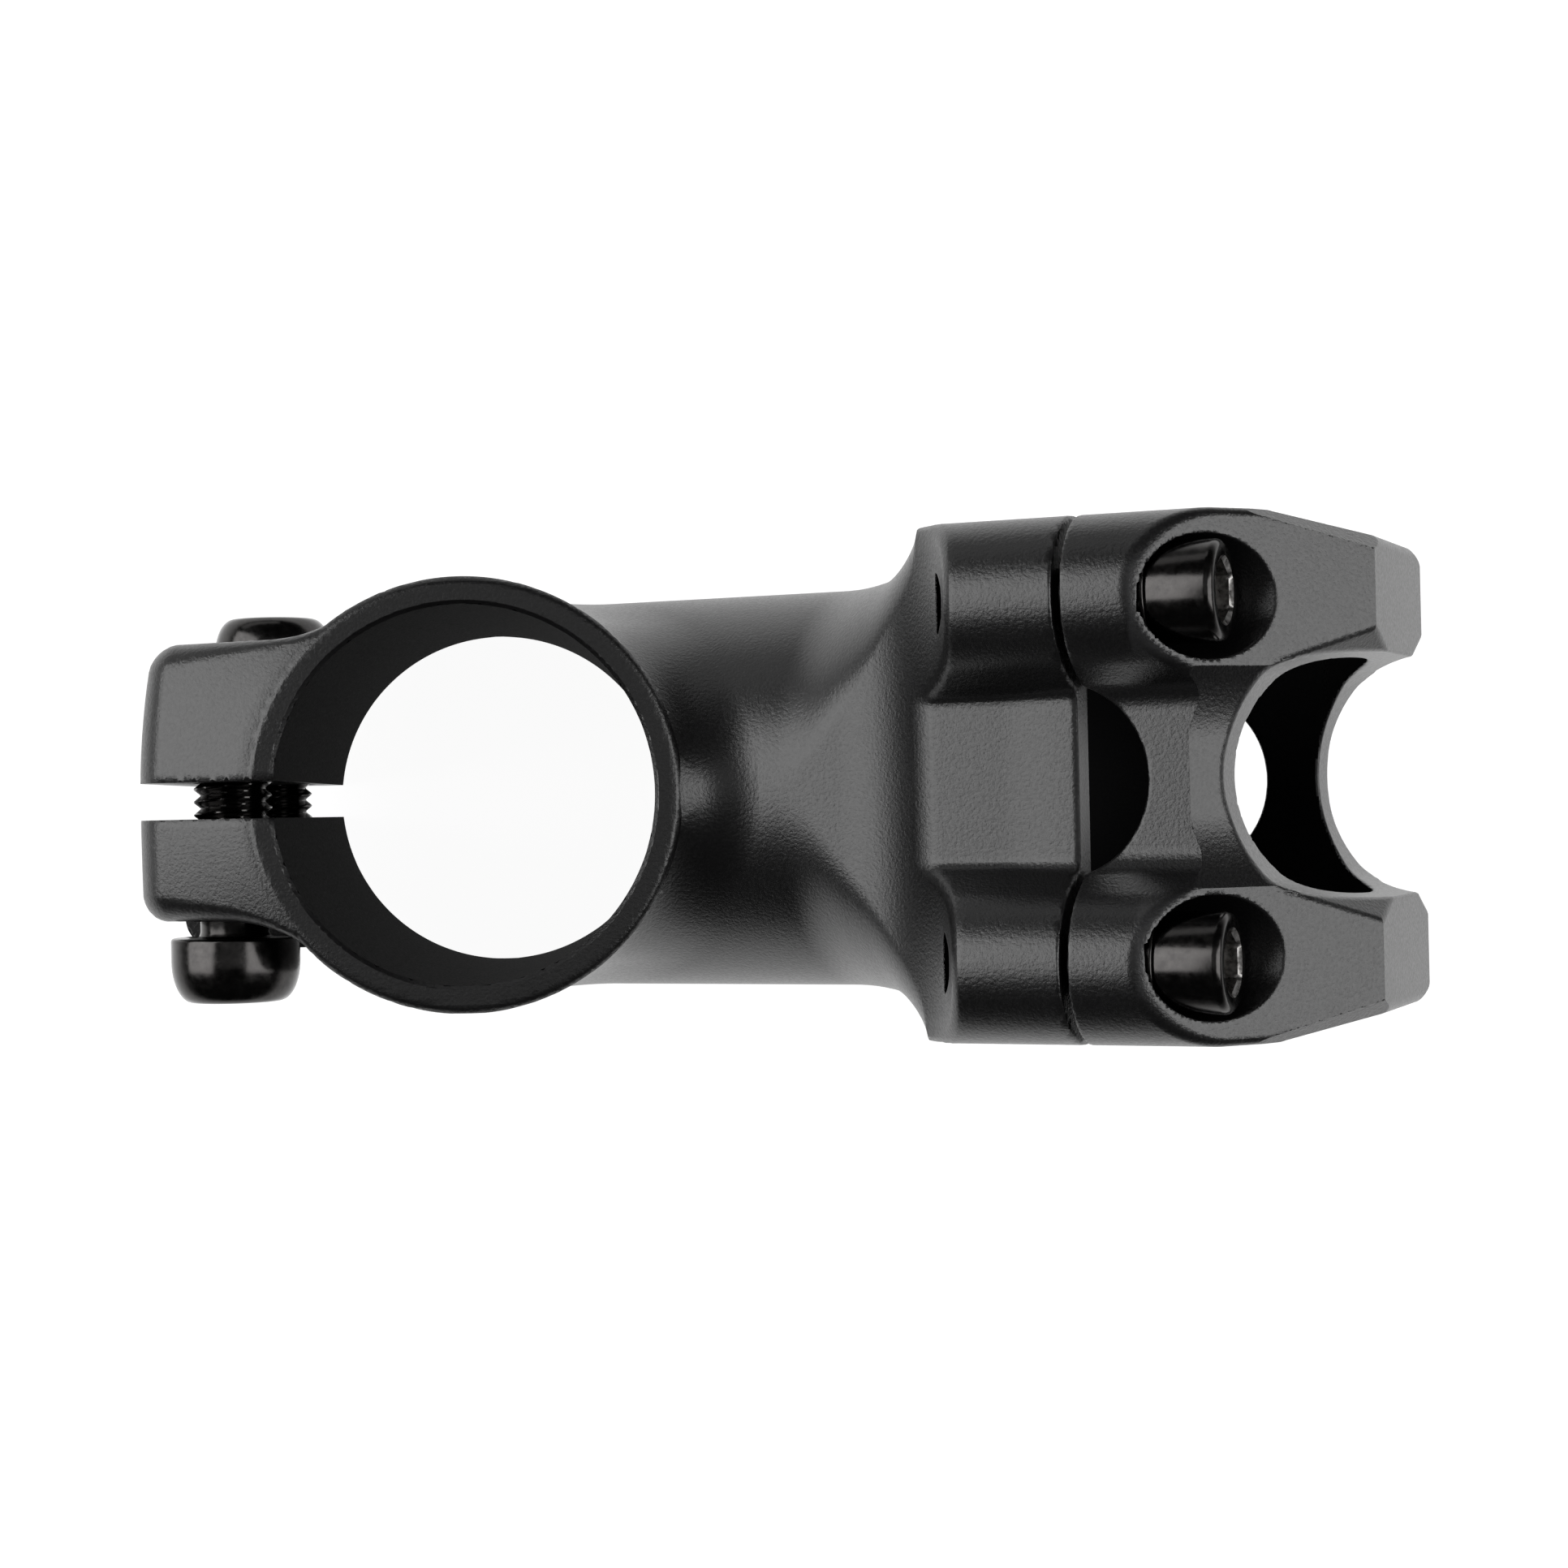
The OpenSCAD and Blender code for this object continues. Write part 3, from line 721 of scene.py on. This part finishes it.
def arithmetic(tree, operation, first, second):
    """One value worked out from two."""
    node = tree.nodes.new("ShaderNodeMath")
    node.operation = operation
    tree.links.new(first, node.inputs[0])
    tree.links.new(second, node.inputs[1])
    return node.outputs[0]


def blend_colour(tree, share, first, last):
    """Mixes two colours by a share; a colour may be a tuple or another node's output."""
    node = tree.nodes.new("ShaderNodeMix")
    node.data_type = "RGBA"
    for socket, colour in ((node.inputs["A"], first), (node.inputs["B"], last)):
        if isinstance(colour, tuple):
            socket.default_value = (*colour, 1.0)
        else:
            tree.links.new(colour, socket)
    tree.links.new(share, node.inputs["Factor"])
    return node.outputs["Result"]


def bump(tree, height, distance, under=None):
    """Bump of a given depth in metres, on top of another bump if one is given."""
    node = tree.nodes.new("ShaderNodeBump")
    node.inputs["Strength"].default_value = 1.0
    node.inputs["Distance"].default_value = distance
    tree.links.new(height, node.inputs["Height"])
    if under is not None:
        tree.links.new(under, node.inputs["Normal"])
    return node.outputs["Normal"]


def blasted_black():
    """Bead-blasted black anodising: leathery grain of a quarter millimetre, fine speckle with painted glints,
    convex edges painted paler as a painted edge highlight, and a tone that drifts a little from place to
    place."""
    material, tree, shader = new_material("blasted_black_anodising")
    dark, pale = (0.003, 0.0029, 0.0031), (0.005, 0.0049, 0.0052)
    glint_grey, edge_highlight_grey = (0.02, 0.02, 0.021), (0.03, 0.03, 0.031)
    grain = noise(tree, scale=4000, detail=2.0, roughness=0.6)
    speckle = noise(tree, scale=11000, detail=1.0)
    cloud = noise(tree, scale=160, detail=3.0)
    tone = blend_colour(tree, ramp(tree, cloud, NOISE_SPAN), dark, pale)
    glint = ramp(tree, speckle, limits=(0.62, 0.75), ends=(0, 0.4))
    tone = blend_colour(tree, glint, tone, glint_grey)
    # Convex edges painted paler: a painted highlight that stands in for light caught by rolled edges and
    # chamfers.
    convexity = tree.nodes.new("ShaderNodeAttribute")
    convexity.attribute_name = "edge_convexity"
    painted_edge_highlight = ramp(tree, convexity.outputs["Fac"], limits=(0.4, 0.9), ends=(0, 0.5))
    tone = blend_colour(tree, painted_edge_highlight, tone, edge_highlight_grey)
    tree.links.new(tone, shader.inputs["Base Color"])
    tree.links.new(ramp(tree, grain, NOISE_SPAN, ends=(0.29, 0.38)), shader.inputs["Roughness"])
    shader.inputs["Specular IOR Level"].default_value = 0.7
    normal = bump(tree, grain, distance=3.3e-5)
    tree.links.new(bump(tree, speckle, distance=4.0e-6, under=normal), shader.inputs["Normal"])
    return material


def turned_bore():
    """Bored surface under the anodising: dull, dark, with a fine speckle of tool marks."""
    material, tree, shader = new_material("turned_bore_black")
    dark, pale = (0.005, 0.005, 0.0052), (0.009, 0.009, 0.0093)
    marks = noise(tree, scale=5200, detail=2.0)
    tree.links.new(blend_colour(tree, ramp(tree, marks, NOISE_SPAN), dark, pale), shader.inputs["Base Color"])
    tree.links.new(ramp(tree, marks, NOISE_SPAN, ends=(0.6, 0.75)), shader.inputs["Roughness"])
    shader.inputs["Metallic"].default_value = 0.65
    shader.inputs["Specular IOR Level"].default_value = 0.04
    shader.inputs["Specular Tint"].default_value = (0.2, 0.2, 0.2, 1.0)
    tree.links.new(bump(tree, marks, distance=6.0e-6), shader.inputs["Normal"])
    return material


def black_oxide():
    """Glossy black oxide on steel: dark mirror with light handling scuffs."""
    material, tree, shader = new_material("black_oxide_steel")
    dark, pale = (0.04, 0.0385, 0.038), (0.065, 0.0625, 0.061)
    scuff = noise(tree, scale=1500, detail=4.0, roughness=0.65)
    tone = blend_colour(tree, ramp(tree, scuff, limits=(0.35, 0.7)), dark, pale)
    tree.links.new(tone, shader.inputs["Base Color"])
    shader.inputs["Metallic"].default_value = 1.0
    tree.links.new(ramp(tree, scuff, NOISE_SPAN, ends=(0.14, 0.26)), shader.inputs["Roughness"])
    tree.links.new(bump(tree, scuff, distance=5.0e-6), shader.inputs["Normal"])
    return material


def bright_socket():
    """Socket walls rubbed bright by the key: silvery steel with fine marks."""
    material, tree, shader = new_material("rubbed_socket_steel")
    dark, pale = (0.16, 0.155, 0.15), (0.42, 0.41, 0.4)
    marks = noise(tree, scale=2600, detail=3.0, roughness=0.6)
    tone = blend_colour(tree, ramp(tree, marks, limits=(0.35, 0.65)), dark, pale)
    tree.links.new(tone, shader.inputs["Base Color"])
    shader.inputs["Metallic"].default_value = 1.0
    tree.links.new(ramp(tree, marks, NOISE_SPAN, ends=(0.25, 0.4)), shader.inputs["Roughness"])
    tree.links.new(bump(tree, marks, distance=5.0e-6), shader.inputs["Normal"])
    return material


ANODISED = blasted_black()
BORED = turned_bore()
OXIDE = black_oxide()
SOCKET = bright_socket()


# Camera


PHOTO_PIXELS = 1932
FOCAL_PIXELS = 3513.3
SENSOR_WIDTH = 36.0
NEAREST = 0.01
CAMERA_AT = (18.899, -1.651, 234.123)
CAMERA_PITCH = -0.522
CAMERA_YAW = 1.364
CAMERA_ROLL = 1.236


def add_camera():
    """Camera above the stem, looking down the steerer, at the photograph's place and angle."""
    lens = bpy.data.cameras.new("camera_above")
    lens.sensor_width = SENSOR_WIDTH
    lens.lens = SENSOR_WIDTH * FOCAL_PIXELS / PHOTO_PIXELS
    lens.clip_start = NEAREST
    camera = add_object("camera_above", lens)
    turn = Matrix.Rotation(math.radians(CAMERA_ROLL), 4, "Z")
    turn = turn @ Matrix.Rotation(math.radians(CAMERA_YAW), 4, "Y")
    turn = turn @ Matrix.Rotation(math.radians(CAMERA_PITCH), 4, "X")
    place = Matrix.Translation([MM * part for part in CAMERA_AT])
    camera.matrix_world = place @ turn.transposed()
    bpy.context.scene.camera = camera


# Stage


FLOOR_SIZE = 6.0
FLOOR_DROP = 0.0001
FLOOR_GLOW = 0.95
FLOOR_WHITE = 0.25
GLOW_NEAR = 0.1
GLOW_FAR = 0.26
GLOW_LEFT = 0.02
WORLD_GREY = 0.03


def add_floor():
    """White floor under the ring: a diffuse part that keeps the shadow, and a glow that cameras see as paper
    white everywhere and reflections see as white near the stem, fading further out."""
    half = FLOOR_SIZE / 2
    level = cad_box[0][2] - FLOOR_DROP
    corners = [(-half, -half, level), (half, -half, level), (half, half, level), (-half, half, level)]
    mesh = bpy.data.meshes.new("paper_floor")
    mesh.from_pydata(corners, [], [(0, 1, 2, 3)])
    material = bpy.data.materials.new("white_paper")
    material.use_nodes = True
    tree = material.node_tree
    tree.nodes.clear()
    rays = tree.nodes.new("ShaderNodeLightPath")
    seen = rays.outputs["Is Camera Ray"]
    for kind in ("Is Glossy Ray", "Is Transmission Ray"):
        seen = arithmetic(tree, "MAXIMUM", seen, rays.outputs[kind])
    place = tree.nodes.new("ShaderNodeTexCoord")
    length = tree.nodes.new("ShaderNodeVectorMath")
    length.operation = "LENGTH"
    centred = tree.nodes.new("ShaderNodeVectorMath")
    centred.operation = "SUBTRACT"
    centred.inputs[1].default_value = ((cad_box[0][0] + cad_box[1][0]) / 2, 0.0, level)
    tree.links.new(place.outputs["Object"], centred.inputs[0])
    tree.links.new(centred.outputs["Vector"], length.inputs[0])
    fading = ramp(tree, length.outputs["Value"], (GLOW_NEAR, GLOW_FAR), (1, GLOW_LEFT))
    share = arithmetic(tree, "MAXIMUM", rays.outputs["Is Camera Ray"], fading)
    strength = arithmetic(tree, "MULTIPLY", ramp(tree, seen, (0, 1), (0, FLOOR_GLOW)), share)
    glow = tree.nodes.new("ShaderNodeEmission")
    tree.links.new(strength, glow.inputs["Strength"])
    paper = tree.nodes.new("ShaderNodeBsdfDiffuse")
    paper.inputs["Color"].default_value = (FLOOR_WHITE, FLOOR_WHITE, FLOOR_WHITE, 1.0)
    both = tree.nodes.new("ShaderNodeAddShader")
    tree.links.new(glow.outputs[0], both.inputs[0])
    tree.links.new(paper.outputs[0], both.inputs[1])
    output = tree.nodes.new("ShaderNodeOutputMaterial")
    tree.links.new(both.outputs[0], output.inputs["Surface"])
    mesh.materials.append(material)
    floor = add_object("paper_floor", mesh)


def add_softbox(name, azimuth, elevation, distance, width, height, radiance):
    """Rectangular soft light that faces the stem's middle from a direction in degrees and a distance in
    metres. Its power is pi times its area times the brightness of its face."""
    lamp = bpy.data.lights.new(name, "AREA")
    lamp.shape = "RECTANGLE"
    lamp.size = width
    lamp.size_y = height
    lamp.energy = math.pi * width * height * radiance
    light = add_object(name, lamp)
    middle = (np.array(cad_box[0]) + np.array(cad_box[1])) / 2
    flat = math.cos(math.radians(elevation))
    heading = np.array([flat * math.cos(math.radians(azimuth)), flat * math.sin(math.radians(azimuth)),
                        math.sin(math.radians(elevation))])
    turn = Vector(heading).to_track_quat("Z", "Y").to_matrix().to_4x4()
    light.matrix_world = Matrix.Translation(Vector(middle + distance * heading)) @ turn


def add_world():
    """Dim even grey all round, so that nothing goes fully black. Cameras see it as white."""
    world = bpy.data.worlds.new("grey_room")
    world.use_nodes = True
    background = world.node_tree.nodes["Background"]
    background.inputs["Color"].default_value = (1.0, 1.0, 1.0, 1.0)
    rays = world.node_tree.nodes.new("ShaderNodeLightPath")
    strength = ramp(world.node_tree, rays.outputs["Is Camera Ray"], (0, 1), (WORLD_GREY, 1))
    world.node_tree.links.new(strength, background.inputs["Strength"])
    bpy.context.scene.world = world


# Building the stem


BODY_STEP = 0.52
PLATE_STEP = 0.26
SKIN = 0.06


def body_bores(x, y, z):
    """True on the steerer bore, the bar saddle and the tapped holes."""
    n, u = clamp_frame(x, z)
    steerer = np.abs(np.hypot(x, y) - STEERER_R) < SKIN
    saddle = np.abs(np.hypot(n, u) - BAR_R) < SKIN
    tapped = np.hypot(np.abs(y) - BOLT_Y, np.abs(u) - BOLT_U) < TAP_R + SKIN
    return steerer | saddle | (tapped & (n > -TAP_DEPTH - SKIN))


def plate_bores(x, y, z):
    """True on the bar saddle of the faceplate."""
    n, u = clamp_frame(x, z)
    return np.abs(np.hypot(n, u) - BAR_R) < SKIN


def build_forgings():
    """Body and faceplate, each in place of its CAD node."""
    body = forged_piece("forged_body", body_distance, BODY_LOW, BODY_HIGH, BODY_STEP,
                        (ANODISED, BORED), body_bores)
    finish_piece(body, "stem", ["stem_body"])
    plate_low, plate_high = node_box("faceplate")
    plate = forged_piece("machined_faceplate", plate_distance, plate_low, plate_high, PLATE_STEP,
                         (ANODISED, BORED), plate_bores)
    finish_piece(plate, "faceplate", ["faceplate"])


def build_faceplate_bolts():
    """Four bolts and their washers on the seats in the faceplate's pockets."""
    rings, finish = socket_bolt(BOLT_HEX, BOLT_SOCKET, faceplate_bolt_head(), BOLT_HEAD_H, BOLT_R,
                                BOLT_PITCH, BOLT_LENGTH, BOLT_NECK)
    washer = washer_rings()
    plain = np.zeros(len(washer[0]), dtype=int)
    axes = (ACROSS, UPWARD, FORWARD)
    for row, up in (("upper", 1), ("lower", -1)):
        for hand, side in (("left", 1), ("right", -1)):
            corner = f"{row}_{hand}"
            seat = BAR + SEAT_N * FORWARD + side * BOLT_Y * ACROSS + up * BOLT_U * UPWARD
            bolt = turned_piece(f"clamp_bolt_{corner}", rings, finish, axes, seat + WASHER_T * FORWARD,
                                (OXIDE, SOCKET), False)
            finish_piece(bolt, f"bolt_{corner}", [f"faceplate_bolt_{corner}"])
            ring = turned_piece(f"clamp_washer_{corner}", washer, plain, axes, seat, (OXIDE,), True)
            finish_piece(ring, f"washer_{corner}", [f"faceplate_washer_{corner}"])


def build_pinch_bolts():
    """Two bolts through the ears, their heads on opposite sides."""
    rings, finish = socket_bolt(PINCH_HEX, PINCH_SOCKET, pinch_bolt_head(), PINCH_HEAD_H, PINCH_R,
                                PINCH_PITCH, PINCH_LENGTH, PINCH_NECK)
    for row, up in (("upper", 1), ("lower", -1)):
        out = np.array([0.0, -up, 0.0])
        axes = (np.array([1.0, 0.0, 0.0]), np.array([0.0, 0.0, float(up)]), out)
        seat = np.array([PINCH_X, 0.0, up * PINCH_Z]) + PINCH_SEAT * out
        bolt = turned_piece(f"steerer_pinch_bolt_{row}", rings, finish, axes, seat, (OXIDE, SOCKET), False)
        finish_piece(bolt, f"pinch_bolt_{row}", [f"steerer_bolt_{row}"])


add_camera()
add_floor()
add_world()
add_softbox("key_left", azimuth=168, elevation=32, distance=0.75, width=0.7, height=0.72, radiance=3.2)
add_softbox("fill_right", azimuth=0, elevation=38, distance=0.75, width=0.5, height=0.75, radiance=3.1)
add_softbox("top_sheet", azimuth=90, elevation=80, distance=0.8, width=0.6, height=0.6, radiance=0.25)
add_softbox("side_strip", azimuth=110, elevation=8, distance=0.8, width=0.8, height=0.2, radiance=0.7)
build_forgings()
build_faceplate_bolts()
build_pinch_bolts()

bpy.context.scene.view_settings.view_transform = "Standard"
